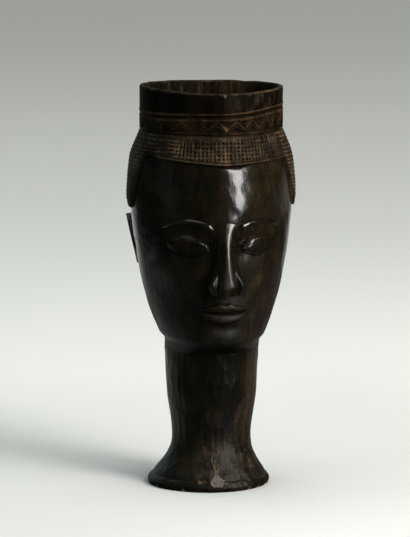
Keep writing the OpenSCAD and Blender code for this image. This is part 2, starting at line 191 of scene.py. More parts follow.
def cut_foot(x, y, z):
    """Shape the foot: its fuller side, its rubbed edge over a line of grime, scuffs, nicks and the flake."""
    deg, r = polar(x, y)
    side = step(20, 24, r)
    r = r + side * FULLER_BY * (1 - z / FOOT_H) * np.cos(np.radians(off(deg, FULLER_SIDE)))
    r = r + side * (block_swell(x, y, z) + 0.1 * uneven(x, y, 0.4 * z, 8, 2) * step(FOOT_H, 20, z))
    arris = hump(z, ARRIS_Z, LINE_TALL) * step(-0.2, 0.7, uneven(x, y, z, 7, 7))
    r = r - side * ARRIS_DEEP * arris * step(0, 0.8, uneven(x, y, z, 5, 8))
    grime = hump(z, GRIME_Z, LINE_TALL) * step(0.5, -0.1, uneven(x, y, z, 6, 16)) * side
    r = r - GRIME_DEEP * grime
    wear = rubbed_low(deg, x, y, z) * step(4.6, 7, z) + 0.2 * arris - 0.6 * grime
    broken = step(-0.9, 0.6, uneven(x, y, z, 2.6, 4))
    for at, height, half_l, half_h, pale in SCUFFS:
        along = np.radians(off(deg, at)) * FOOT_R
        spot = hump(along, 0, half_l, 4) * hump(z, height, half_h, 4) * broken
        wear = np.maximum(wear, pale * spot)
        r = r - SCUFF_DEEP * spot
    for at, half_l, deep in NICKS:
        along = np.radians(off(deg, at)) * FOOT_R
        bite = hump(along, 0, half_l) * hump(z, 0, NICK_TALL) * side
        r = r - deep * bite
        wear = np.maximum(wear, NICK_PALE * step(0.25, 0.6, bite))
    along = np.radians(off(deg, FLAKE_DEG)) * FOOT_R
    reach = np.minimum(along - trace(FLAKE_LEFT, z), trace(FLAKE_RIGHT, z) - along)
    ragged = step(0, 0.4, reach + 0.35 * uneven(x, y, z, 3, 6))
    flake = ragged * side * window(FLAKE_LOW, FLAKE_LOW + 0.5, FLAKE_H - 1, FLAKE_H, z)
    r = r - flake * trace(FLAKE_DEPTH, z)
    darkened = 1 - 0.65 * step(8.5, 11, z) * step(0.5, 1.0, reach)
    # The flake's pale grey is newly split wood, and partly a painted highlight of its facets.
    fresh_and_glint = trace(FLAKE_PALE_AND_GLINT, z) * darkened + 0.26 * uneven(x, y, z, 1.7, 5)
    fresh_and_glint = fresh_and_glint + (0.06 - 0.22 * step(0.9, 1.6, reach)) * step(9, 7, z)
    wear = wear + (fresh_and_glint - wear) * flake
    x, y = around(deg, r)
    return x, y, z, wear


class Shade:
    """A socket in a material's node tree. Sums written on it add Math nodes to the tree."""

    def __init__(self, tree, socket=None):
        self.tree, self.socket = tree, socket

    def node(self, kind, settings, inputs, output=0):
        """Add a node: its settings first, then a value or a link for each of its sockets."""
        made = self.tree.nodes.new(kind)
        for name, setting in settings.items():
            setattr(made, name, setting)
        for name, given in inputs.items():
            if isinstance(given, Shade):
                self.tree.links.new(given.socket, made.inputs[name])
            else:
                made.inputs[name].default_value = given
        return Shade(self.tree, made.outputs[output] if made.outputs else None)

    def math(self, operation, first, second):
        return self.node("ShaderNodeMath", {"operation": operation}, {0: first, 1: second})

    def __add__(self, other):
        return self.math("ADD", self, other)

    def __sub__(self, other):
        return self.math("SUBTRACT", self, other)

    def __rsub__(self, other):
        return self.math("SUBTRACT", other, self)

    def __mul__(self, other):
        return self.math("MULTIPLY", self, other)

    __radd__, __rmul__ = __add__, __mul__

    def noise(self, scale, detail, stretch=(1, 1, 1)):
        """Cloudy noise on these coordinates, about 0.5, scale cells to the metre."""
        placed = self.node("ShaderNodeMapping", {}, {"Vector": self, "Scale": stretch})
        return self.node("ShaderNodeTexNoise", {}, {"Vector": placed, "Scale": scale, "Detail": detail})

    def facets(self, scale, stretch):
        """Knife facets on these coordinates: hollows that meet in ridges, scale of them to the metre."""
        placed = self.node("ShaderNodeMapping", {}, {"Vector": self, "Scale": stretch})
        reach = self.node("ShaderNodeTexVoronoi", {}, {"Vector": placed, "Scale": scale})
        return reach * reach

    def between(self, low, high):
        """This value taken smoothly from 0 at low to 1 at high."""
        return self.node("ShaderNodeMapRange", {"interpolation_type": "SMOOTHSTEP"},
                         {"Value": self, "From Min": low, "From Max": high})

    def blend(self, first, second):
        """A colour between two others, by this value."""
        factor, colour_a, colour_b, mixed = 0, 6, 7, 2
        return self.node("ShaderNodeMix", {"data_type": "RGBA", "clamp_factor": True},
                         {factor: self, colour_a: first, colour_b: second}, mixed)


def bare_material(name):
    """A material with an empty node tree, and a Shade to fill it with."""
    material = bpy.data.materials.new(name)
    material.use_nodes = True
    material.node_tree.nodes.clear()
    return material, Shade(material.node_tree)


# Worn-through wood is grey and split wood paler; on the foot's flake this pale grey is partly a painted
# highlight.
RAW_WEAR, RAW_GREY = (0.64, 0.86), (0.084, 0.083, 0.078, 1)
SPLIT_WEAR, SPLIT_PALE_AND_GLINT = (0.9, 1.02), (0.21, 0.21, 0.2, 1)


def old_wood(name, dark, brown, rubbed, shine, marks, dull=0.62, polished=0.62, heights=(0.1, 0.2),
             coat=0.0, coat_rough=0.3):
    """Dark hardwood with grain up the block, a mottled patina, knife marks, and paler where it is rubbed; its
    wear also brings in painted light and shade.

    dull is its roughness below the first of two heights, in metres, and polished above the second, where
    its coat of polish is kept. shine is its gloss, and marks how strong the knife marks are."""
    material, wood = bare_material(name)
    place = wood.node("ShaderNodeTexCoord", {}, {}, "Object")
    wear = wood.node("ShaderNodeAttribute", {"attribute_name": "wear"}, {}, "Fac")
    fibre = place.noise(1500, 3, (1, 1, 0.05))
    streak = place.noise(260, 3, (1, 1, 0.1))
    patina = place.noise(70, 5)
    speck = place.noise(900, 2)
    height = wood.node("ShaderNodeSeparateXYZ", {}, {"Vector": place}, "Z")
    kept = (height + (patina - 0.5) * 0.03).between(*heights)
    # Wear below 0 darkens the wood: grime, and on the neck a painted shade under the chin.
    grime = wood.math("MINIMUM", wear, 0)
    tone = (patina * 1.1 + streak * 0.5 + fibre * 0.25 + grime).between(0.72, 1.16)
    rub = (wear * 1.5 + (fibre - 0.5) * 0.35 + (speck - 0.5) * 0.5 + (streak - 0.5) * 0.3).between(0.12, 0.95)
    raw = (wear + (fibre - 0.5) * 0.22 + (speck - 0.5) * 0.45).between(*RAW_WEAR)
    split = (wear + (speck - 0.5) * 0.25).between(*SPLIT_WEAR)
    stained = rub.blend(tone.blend(dark, brown), rubbed)
    colour = split.blend(raw.blend(stained, RAW_GREY), SPLIT_PALE_AND_GLINT)
    rough = (wear * 0.2 + dull - kept * (dull - polished) + (patina - 0.5) * 0.2 + (fibre - 0.5) * 0.14
             + (speck - 0.5) * 0.12)
    knife = place.facets(260, (1, 1, 0.4)) * marks
    relief = fibre * 0.4 + streak * 0.4 + (speck * 0.6 + patina * 1.2) * (1.6 - kept) + knife
    normal = wood.node("ShaderNodeBump", {}, {"Height": relief, "Strength": 0.3, "Distance": 0.0006})
    surface = wood.node("ShaderNodeBsdfPrincipled", {},
                        {"Base Color": colour, "Roughness": rough, "Normal": normal,
                         "Coat Weight": kept * coat if coat else 0.0, "Coat Roughness": coat_rough,
                         "Specular IOR Level": shine})
    wood.node("ShaderNodeOutputMaterial", {}, {"Surface": surface})
    return material


def pick(piece):
    """Make a piece the only selected one and the active one."""
    bpy.ops.object.select_all(action="DESELECT")
    piece.select_set(True)
    bpy.context.view_layer.objects.active = piece


def fit(piece, material, crease, node):
    """Shade a finished piece, give it its wood and set it on the cup in place of its solid."""
    pick(piece)
    bpy.ops.object.shade_smooth_by_angle(angle=math.radians(crease))
    piece.data.materials.append(material)
    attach(piece, "root")
    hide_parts(node)


def waist(z):
    """Radius of the flare, rounded where it runs into the neck."""
    shares = [np.clip((FOOT_H - z + shift) / (FOOT_H - FLARE_Z), 0, 1) ** FLARE_POWER
              for shift in (-4, -2, 0, 2, 4)]
    return WAIST_R + (FLARE_R - WAIST_R) * (sum(shares) / len(shares))


base = [(r, 0) for r in (0, 12, 24, 32)]
flare = [(waist(z), z) for z in np.linspace(6.2, FOOT_H, 36)]
foot = lathe("foot_carved", base + FOOT_EDGE + flare + [(12, FOOT_H), (0, FOOT_H)], 600)
carve(foot, cut_foot)
stem_wood = old_wood("stem_wood", dark=(0.0034, 0.003, 0.0016, 1), brown=(0.0112, 0.0078, 0.0039, 1),
                     rubbed=(0.085, 0.057, 0.036, 1), shine=0.24, marks=3.0, dull=0.46, polished=0.36,
                     heights=(0.03, 0.085))
fit(foot, stem_wood, 40, "foot")


# Neck: the solid stem that serves as the grip, whittled from the same block between the waist and the jaw.
# The knife left long shallow facets down it, which hands have since smoothed and darkened.
NECK_TOP_R, NECK_H, NECK_FACETS, GRIP_R = 29.5, 60.0, 38, 30
NECK = [(0, WAIST_R), (4, WAIST_R), (32, 28.0), (NECK_H, NECK_TOP_R)]
RUB_DEG, RUB_Z, RUB_HALF_W, RUB_HALF_H, RUB_PALE = 3, 77.5, 3.0, 6.0, 0.34


def curve(points, at):
    """Height of a smooth line through points, one that never swings past them."""
    px, py = np.array(points, float).T
    slope = np.diff(py) / np.diff(px)
    turn = slope[:-1] * slope[1:] > 0
    even = np.where(turn, 2 * slope[:-1] * slope[1:] / np.where(turn, slope[:-1] + slope[1:], 1), 0)
    tangent = np.concatenate([slope[:1], even, slope[-1:]])
    i = np.clip(np.searchsorted(px, at, side="right") - 1, 0, len(px) - 2)
    w = px[i + 1] - px[i]
    t = (at - px[i]) / w
    return (py[i] * (1 + 2 * t) * (1 - t) ** 2 + w * tangent[i] * t * (1 - t) ** 2
            + py[i + 1] * t * t * (3 - 2 * t) + w * tangent[i + 1] * t * t * (t - 1))


def whittled(deg, z, count, seed):
    """Shallow facets side by side round the axis, 0 in their middles and 1 at the ridges between them."""
    x, y = around(deg, GRIP_R)
    turn = deg / 360 * count + 0.7 * uneven(x, y, 0.3 * z, 24, seed)
    return (2 * np.abs(turn % 1 - 0.5)) ** 2


def cut_neck(x, y, z):
    """Shape the neck: its facets, the side that is handled most, and painted shade under the chin."""
    deg, r = polar(x, y)
    side = step(1, 20, r)
    ends = step(0, 8, z - FOOT_H) * step(0, 5, FOOT_H + NECK_H - z)
    ridge = whittled(deg, z, NECK_FACETS, 11)
    r = r + side * (block_swell(x, y, z) + ends * 0.12 * (ridge - 0.4)
                    + ends * 0.14 * uneven(x, y, 0.35 * z, 9, 12))
    ridges = 0.1 * ends * ridge * step(-0.3, 0.8, uneven(x, y, 0.3 * z, 18, 13))
    patches = 0.1 * ends * step(0.35, 1.0, uneven(x, y, 0.5 * z, 7, 14))
    handled = 0.2 * window(14, 30, 90, 150, deg) * step(26, 46, z)
    # The neck's front just below the chin is darker: a painted shade.
    under_chin_shade = hump(deg, 4, 28, 4) * step(46, 68, z)
    wear = (0.7 * (0.03 + ridges + patches) + handled) * (1 - under_chin_shade)
    wear = wear + rubbed_low(deg, x, y, z) - 0.45 * under_chin_shade
    spot = hump(np.radians(deg - RUB_DEG) * NECK_TOP_R, 0, RUB_HALF_W) * hump(z, RUB_Z, RUB_HALF_H)
    wear = wear + RUB_PALE * spot * step(0, 0.7, uneven(x, y, 0.6 * z, 3, 15))
    x, y = around(deg, r)
    return x, y, z, wear


SEAT_Z = FOOT_H + NECK_H
rows = [(curve(NECK, h) + waist(FOOT_H + h) - WAIST_R, FOOT_H + h) for h in np.linspace(0, NECK_H, 61)]
neck = lathe("neck_whittled", [(0, FOOT_H), (12, FOOT_H)] + rows + [(12, SEAT_Z), (0, SEAT_Z)], 300)
carve(neck, cut_neck)
fit(neck, stem_wood, 40, "neck")


# Head: the bare face, cheeks and jaw below the hair, with the floor and lower wall of the hollow.
# The wood was smoothed, blackened and polished, and a soft keel runs down the middle of the face.
HEAD_H, MOUTH_Z, HOLLOW_DEPTH, HOLLOW_WEAR = 138.0, 250.0, 150.0, 0.2
BROW_H, BROW_DEPTH, KEEL = 80.5, 52.5, 1.75
WIDTHS = [(0, NECK_TOP_R), (6, NECK_TOP_R), (11, 33), (47, 44.6), (97, 50.7), (120, 48.9), (HEAD_H, 42.5)]
FRONTS = [(0, NECK_TOP_R), (9, 44.5), (28.5, 45.5), (BROW_H, BROW_DEPTH), (HEAD_H, 44.3)]
BACKS = [(0, NECK_TOP_R), (8, NECK_TOP_R), (92, 55), (HEAD_H, 42.5)]
RIM_HALF_W, RIM_FRONT, RIM_WALL = 45.2, 47.0, 3.0
# How far the hair hangs below its top, as (angle, drop), on the figure's right and left.
SIDE_DROP, BACK_DROP = 48.5, 86
HAIR_DROP_RIGHT = [(0, 18), (70, 13.6), (74, 18), (79, 36), (84, SIDE_DROP), (118, SIDE_DROP),
                   (123, BACK_DROP), (180, BACK_DROP)]
HAIR_DROP_LEFT = [(0, 18), (62, 16), (68, 28), (77, 45), (82, SIDE_DROP), (118, SIDE_DROP),
                  (123, BACK_DROP), (180, BACK_DROP)]
# Soft forms of the face: how far each stands out, its place across and up, half width and half height.
FACE_FORMS = {"socket": (-2.6, 25, 70.5, 15, 8), "inner_corner": (-1.5, 12, 71, 5, 8),
              "cheekbone": (1.2, 33, 53, 13, 9), "mouth": (1.7, 0, 29, 17, 11),
              "mouth_corner": (-1.1, 21, 28, 4.5, 6), "under_lip": (-0.9, 0, 18.5, 12, 3.2),
              "chin": (0.9, 0, 11.5, 15, 6), "forehead": (0.7, 19, 102, 14, 13),
              "cheek": (-0.8, 40, 30, 12, 14)}
GASH_DEG, GASH_WIDE = 9, 10
# A blank is a plain ring. Its rows at the first radius become the outside, at the second the hollow's wall.
OUTER_R, INNER_R = 50, 30


def row_at(r, at):
    """Whether a point lies in the rows that a blank has at a radius."""
    return np.abs(r - at) < 0.3


def plan(deg, half_w, front, back, power):
    """Radius of a section: keeled before the axis, round behind it."""
    a = np.radians(deg)
    ahead = np.cos(a) > 0
    p = np.where(ahead, power, 2.0)
    depth = np.where(ahead, front, back)
    return ((np.abs(np.sin(a)) / half_w) ** p + (np.abs(np.cos(a)) / depth) ** p) ** (-1 / p)


def skin(deg, h):
    """Radius of the bare block of the head at a height above the neck."""
    keel = 2 - (2 - KEEL) * np.clip(h / BROW_H, 0, 1)
    return plan(deg, curve(WIDTHS, h), curve(FRONTS, h), curve(BACKS, h), keel)


def hairline(deg):
    """Height of the edge of the hair above the neck, with its corners rounded."""
    right, left = (sum(trace(drops, np.abs(deg) + shift) for shift in (-3, -1, 1, 3)) / 4
                   for drops in (HAIR_DROP_RIGHT, HAIR_DROP_LEFT))
    return HEAD_H - np.where(deg > 0, left, right)


def hollow(deg, z):
    """Radius of the drinking hollow, which closes to a round floor."""
    lip = plan(deg, RIM_HALF_W, RIM_FRONT, RIM_HALF_W, KEEL) - RIM_WALL
    return lip * np.sqrt(np.clip(1 - ((MOUTH_Z - z) / HOLLOW_DEPTH) ** 3, 0, 1))


def face(deg, h):
    """Radius of the smoothed head: the block with its soft forms, and a cut along the hair's front edge."""
    s = np.abs(np.radians(deg) * BROW_DEPTH)
    shaped = sum(out * hump(s, at, wide) * hump(h, up, tall)
                 for out, at, up, wide, tall in FACE_FORMS.values())
    gash = hump(deg, GASH_DEG, GASH_WIDE)
    under_hair = hump(hairline(deg) - h, 0, 1.8 + 0.9 * gash) * step(62, 40, np.abs(deg)) * (1 + 2.4 * gash)
    return skin(deg, h) + shaped * step(80, 60, np.abs(deg)) - 0.5 * under_hair


def cut_head(x, y, z):
    """Shape the head: the face outside, up to the hair's edge, and the round hollow inside."""
    deg, r = polar(x, y)
    outside = row_at(r, OUTER_R)
    z = np.minimum(z, SEAT_Z + hairline(deg))
    h = np.clip(z - SEAT_Z, 0, HEAD_H)
    touch = 0.22 * uneven(x, y, z, 24, 21) + 0.07 * uneven(x, y, z, 8, 22)
    inner = np.where(row_at(r, INNER_R), hollow(deg, z), 0)
    r = np.where(outside, face(deg, h) + step(0, 6, h) * touch, inner)
    patches = 0.06 + 0.09 * step(0.2, 1.0, uneven(x, y, z, 15, 23))
    wear = np.where(outside, patches + 0.12 * window(2, 26, 100, 150, deg), HOLLOW_WEAR)
    x, y = around(deg, r)
    return x, y, z, wear


edge_h, floor_z, floor_rows = 123, MOUTH_Z - HOLLOW_DEPTH, 40
edge_z = SEAT_Z + edge_h
cheek_rows = np.concatenate([np.linspace(0, 12, 19), np.linspace(13, edge_h, 111)])
cheeks = [(OUTER_R, SEAT_Z + h) for h in cheek_rows]
bowl = [(INNER_R, edge_z - (edge_z - floor_z) * math.sin(math.radians(89 * i / floor_rows)))
        for i in range(floor_rows)]
head = lathe("head_polished", [(0, SEAT_Z)] + cheeks + bowl + [(0, floor_z)], 360)
carve(head, cut_head)
polished_wood = old_wood("polished_wood", dark=(0.0027, 0.0025, 0.0013, 1), brown=(0.0088, 0.006, 0.0026, 1),
                         rubbed=(0.055, 0.0345, 0.0165, 1), shine=0.28, marks=0.85, dull=0.5, polished=0.2,
                         heights=(0.11, 0.175), coat=0.6, coat_rough=0.12)
fit(head, polished_wood, 40, "head")


# Ears: two flat flanges of the head's own wood, left standing at its sides and hollowed inside their rims.
# They were carved and not polished, and are thickest along the top.
EAR_DEG, EAR_TOP_H, EAR_H, EAR_HALF_W, EAR_ROUND = 107, 83.6, 32.2, 8.0, 0.14
SUNK = 0.8


def raise_piece(name, columns, rows, shape):
    """A raised piece: a grid drawn into a slab, its back just inside the head and its front carved.

    shape takes u and v from 0 to 1 and gives the place along the head, the height on it, how far
    the front stands out there, and how worn it is."""
    bpy.ops.object.select_all(action="DESELECT")
    bpy.ops.mesh.primitive_grid_add(x_subdivisions=columns, y_subdivisions=rows, size=MM)
    piece = bpy.context.object
    piece.name = piece.data.name = name
    bpy.ops.object.mode_set(mode="EDIT")
    bpy.ops.mesh.select_all(action="SELECT")
    bpy.ops.mesh.extrude_region_move(TRANSFORM_OT_translate={"value": (0, 0, MM)})
    bpy.ops.object.mode_set(mode="OBJECT")

    def cut(x, y, z):
        s, h, out, wear = shape(np.clip(x + 0.5, 0, 1), np.clip(y + 0.5, 0, 1))
        deg = np.degrees(s / BROW_DEPTH)
        x, y = around(deg, face(deg, h) + np.where(z > 0.5, out, -SUNK))
        return x, y, SEAT_Z + h, wear

    carve(piece, cut)
    return piece


def twin(piece, name):
    """A copy for the other side of the face, mirrored with its own mesh."""
    pick(piece)
    bpy.ops.object.duplicate(linked=False)
    copy = bpy.context.object
    copy.name = copy.data.name = name
    bpy.ops.object.mode_set(mode="EDIT")
    bpy.ops.mesh.select_all(action="SELECT")
    bpy.ops.transform.resize(value=(-1, 1, 1), center_override=(0, 0, 0))
    bpy.ops.object.mode_set(mode="OBJECT")
    face_out(copy)
    return copy


def ear(u, v):
    """An ear, u towards the back and v upwards: it narrows downwards and has a bowl inside its rim."""
    x, t = 2 * u - 1, 1 - v
    taper = 0.34 + 0.66 * np.sqrt(np.clip(1 - t ** 2.2, 0, 1))
    rounded = np.sqrt(np.clip(1 - (1 - t / EAR_ROUND) ** 2, 0, 1) ** (t < EAR_ROUND))
    half_w = EAR_HALF_W * taper * (0.72 + 0.28 * rounded)
    edge = np.minimum(1 - np.abs(x), np.minimum(v, 1 - v) * 2.4)
    rim = step(0, 0.08, edge)
    bowl = step(0.16, 0.42, edge) * step(0.25, 0.45, v)
    out = (0.9 + 4.4 * u ** 1.3 - 2.6 * t * (0.3 + 0.7 * u)) * rim
    out = out - 1.5 * bowl * (1 - 0.5 * t) - 0.4 * (1 - rim)
    out = out + 0.9 * hump(x, -0.72, 0.22) * hump(v, 0.42, 0.1)
    s = math.radians(EAR_DEG) * BROW_DEPTH + x * half_w
    return s, EAR_TOP_H - EAR_H * t, out, 0.02 + 0.12 * rim * (1 - bowl) * step(0.3, 0.1, edge)


left_ear = raise_piece("left_ear_flange", 40, 64, ear)
right_ear = twin(left_ear, "right_ear_flange")
ear_wood = old_wood("ear_wood", dark=(0.0046, 0.0044, 0.0032, 1), brown=(0.011, 0.0086, 0.0056, 1),
                    rubbed=(0.06, 0.044, 0.03, 1), shine=0.2, marks=0.8)
fit(left_ear, ear_wood, 35, "left_ear")
fit(right_ear, ear_wood, 35, "right_ear")


# Eyes: almond swellings with a narrow lid cut round each, half closed and calm.
# They stand in the sockets, in one with the head, and are polished like the rest of the face.
EYE_S, EYE_H, EYE_HALF_L = 26, 70, 15.5
FACE_WEAR, EDGE_SUNK, END_SUNK = 0.03, 0.45, 0.3


def eye(u, v):
    """An eye, u from its inner corner outwards and v upwards: a ball between two lids."""
    x, t = 2 * u - 1, 2 * v - 1
    open_by = np.where(t > 0, 6.4, 5.6) * np.clip(1 - np.abs(x) ** 2.1, 0, 1) + 1.5
    tip = np.sqrt(np.clip(1 - x * x, 0, 1))
    ball = 2.4 * tip * np.sqrt(np.clip(1 - (t / 0.76) ** 2, 0, 1))
    lid_in = np.where(t > 0, 0.30, -0.62)
    past = np.where(t > 0, t - lid_in, lid_in - t)
    lid = step(0, 0.09, past) * step(0.98, 0.80, np.abs(t))
    out = 0.5 + ball + 0.75 * lid * step(0, 0.25, tip) - 0.35 * hump(past, 0, 0.05) * tip
    out = (out * step(1.0, 0.80, np.abs(t)) * step(1.0, 0.9, np.abs(x))
           - EDGE_SUNK * step(0.86, 1.0, np.abs(t)) - END_SUNK * step(0.93, 1, np.abs(x)))
    wear = FACE_WEAR + 0.1 * lid * tip + 0.03 * step(1.4, 2.4, ball)
    return EYE_S + EYE_HALF_L * x, EYE_H + 1.2 * x + t * open_by, out, wear


left_eye = raise_piece("left_eye_almond", 72, 56, eye)
right_eye = twin(left_eye, "right_eye_almond")
fit(left_eye, polished_wood, 35, "left_eye")
fit(right_eye, polished_wood, 35, "right_eye")


# Brows: two thin arched ridges above the sockets, of the head's polished wood.
# They were left standing when the sockets were cut, and are rubbed along their crests.
BROW_IN, BROW_OUT, BROW_ARCH, BROW_HALF_W, BROW_T = 7.5, 46, 4.5, 2.9, 1.7


def brow(u, v):
    """A brow, u from its inner end outwards and v upwards: broad at first, and thinning to its outer end."""
    t = 2 * v - 1
    half_w = BROW_HALF_W * (1 - 0.5 * u) * step(-0.02, 0.06, u) + 0.2
    crest = np.clip(1 - np.where(t > 0, t / 0.95, t / 0.7) ** 2, -0.6, 1)
    fade = step(0, 0.1, u) * step(1.0, 0.75, u)
    out = BROW_T * crest * (0.25 + 0.75 * fade) - 0.25
    h = BROW_H + BROW_ARCH * np.sin(math.pi * u ** 0.9) + t * half_w
    return BROW_IN + (BROW_OUT - BROW_IN) * u, h, out, FACE_WEAR + 0.12 * step(0.5, 1.0, crest) * fade


left_brow = raise_piece("left_brow_ridge", 90, 16, brow)
right_brow = twin(left_brow, "right_brow_ridge")
fit(left_brow, polished_wood, 40, "left_brow")
fit(right_brow, polished_wood, 40, "right_brow")


# Nose: a straight ridge from between the brows to a broad tip with two wings, in one with the polished head.
# It stands furthest out of the block, so its ridge and tip are the most rubbed.
NOSE_BASE_H, NOSE_TOP_H, NOSE_UNDER = 41.5, 87.0, 0.16
NOSE_HALF_W = [(0, 11.0), (0.13, 12.8), (0.27, 10.6), (0.5, 8.0), (0.8, 7.0), (1, 7.5)]
NOSE_RIDGE = [(0, 9.6), (0.11, 11.4), (0.22, 9.8), (0.6, 4.6), (0.82, 1.5), (1, 0.0)]
NOSE_WINGS = [(0, 3.2), (0.13, 3.9), (0.3, 0.8), (0.45, 0), (1, 0)]
NOSE_FLAT = [(0, 2.1), (0.15, 2.3), (0.4, 1.9), (1, 1.8)]


def nose(u, v):
    """The nose, u across it and v upwards: its underside with the nostrils, then its ridge and wings."""
    x = 2 * u - 1
    a = np.abs(x)
    up = np.clip((v - NOSE_UNDER) / (1 - NOSE_UNDER), 0, 1)
    below = step(0, NOSE_UNDER, v)
    wings = curve(NOSE_WINGS, up) * hump(a, 0.73, 0.17) * step(1.0, 0.86, a)
    out = curve(NOSE_RIDGE, up) * np.clip(1 - a ** curve(NOSE_FLAT, up), 0, 1) + wings
    crease = hump(a, 0.47, 0.07) * step(0.42, 0.2, up) * step(0.0, 0.06, up)
    out = ((out - 0.9 * crease) * below - EDGE_SUNK * (1 - below)
           - EDGE_SUNK * np.maximum(step(0.9, 1, a), step(0.9, 1, up)))
    nostril = hump(a, 0.42, 0.17) * hump(v, 0.085, 0.04)
    h = NOSE_BASE_H + (NOSE_TOP_H - NOSE_BASE_H) * up - 1.4 * below * (1 - up) * (1 - a * a) + 3.2 * nostril
    wear = FACE_WEAR + 0.24 * step(0.3, 0.0, a) * window(0, 0.2, 0.8, 1, v)
    return curve(NOSE_HALF_W, up) * x, h, out, wear


nose_ridge = raise_piece("nose_ridge", 72, 110, nose)
fit(nose_ridge, polished_wood, 40, "nose")


# Lips: two full, closed lips with a firm edge, of the head's polished wood.
# They were left standing below the nose, and a knife cut parts them.
MOUTH_H, MOUTH_HALF_W, MOUTH_CUT, MOUTH_CUT_DEEP, LIP_T = 28.5, 17.5, 0.15, 1.5, 2.0


def upper_lip(u, v):
    """The upper lip, u across it and v upwards from the cut, with a bow in its edge."""
    x = 2 * u - 1
    a = np.abs(x)
    bow = 0.9 * hump(a, 0.2, 0.13) - 0.5 * hump(a, 0, 0.1)
    tall = 5.4 * np.clip(1 - a ** 1.8, 0, 1) + bow + 0.8
    full = np.sqrt(np.clip(1 - a ** 2.4, 0, 1))
    crown = LIP_T + 2.2 * np.sin(math.pi * np.clip(v * 0.9, 0, 1)) ** 0.8
    out = full * crown * step(1.0, 0.82, v) - EDGE_SUNK * step(0.86, 1, v)
    out = out - MOUTH_CUT_DEEP * step(0.14, 0, v) * full - END_SUNK * step(0.94, 1, a)
    wear = FACE_WEAR + 0.1 * full * window(0.5, 0.8, 0.86, 0.98, v)
    return MOUTH_HALF_W * x, MOUTH_H + MOUTH_CUT + tall * v + a ** 2, out, wear


def lower_lip(u, v):
    """The lower lip, u across it and v upwards to the cut."""
    x, t = 2 * u - 1, 1 - v
    a = np.abs(x)
    tall = 6.4 * np.clip(1 - a ** 2.2, 0, 1) + 0.8
    full = np.sqrt(np.clip(1 - a ** 2.6, 0, 1))
    crown = LIP_T + 2.9 * np.sin(math.pi * np.clip(t * 0.85 + 0.04, 0, 1)) ** 0.8
    out = full * crown * step(1.0, 0.80, t) - EDGE_SUNK * step(0.84, 1, t)
    out = out - MOUTH_CUT_DEEP * step(0.12, 0, t) * full - END_SUNK * step(0.94, 1, a)
    wear = FACE_WEAR + 0.1 * full * window(0.2, 0.45, 0.6, 0.8, t)
    return MOUTH_HALF_W * x, MOUTH_H - MOUTH_CUT - tall * t + a ** 2, out, wear


lip_above = raise_piece("upper_lip_cut", 72, 26, upper_lip)
fit(lip_above, polished_wood, 40, "upper_lip")
lip_below = raise_piece("lower_lip_cut", 72, 28, lower_lip)
fit(lip_below, polished_wood, 40, "lower_lip")


# Hair: a cap of the block's wood, left standing out from the bare head, with panels beside the ears.
# Its front and back are cut into a net of ridges and pits, its side panels into level furrows,
# and a plain narrow border with a trench behind it runs along its edge.
HAIR_T, COLLAR_Z = 2.5, SEAT_Z + HEAD_H
# A cell of the net has two rows and columns on its ridge and two in its pit, at the parts of its size that
# GRID gives. RIDGE is how far the ridge's foot and top lie from its middle.
CELLS, CELL_H, CELL_ROWS, PIT = 120, 2.35, 38, 1.2
GRID, RIDGE = (-0.15, 0.15, 0.38, 0.62), (0.36, 0.17)
NET_LOW, NET_TOP, DRAWN_ROWS = COLLAR_Z - BACK_DROP, 222.4, 64
TOP_ROWS = (222.6, 223.0, 223.4, 223.7, COLLAR_Z)
# The border's rows as (radius in the blank, height above the hair's edge). The last one is the trench.
BORDER = [(46, 0.0), (46.7, 0.3), (47.4, 0.75), (48.1, 1.1), (48.8, 1.45)]
TRENCH_R, BORDER_H, SHELF_R = BORDER[-1][0], 1.8, 40


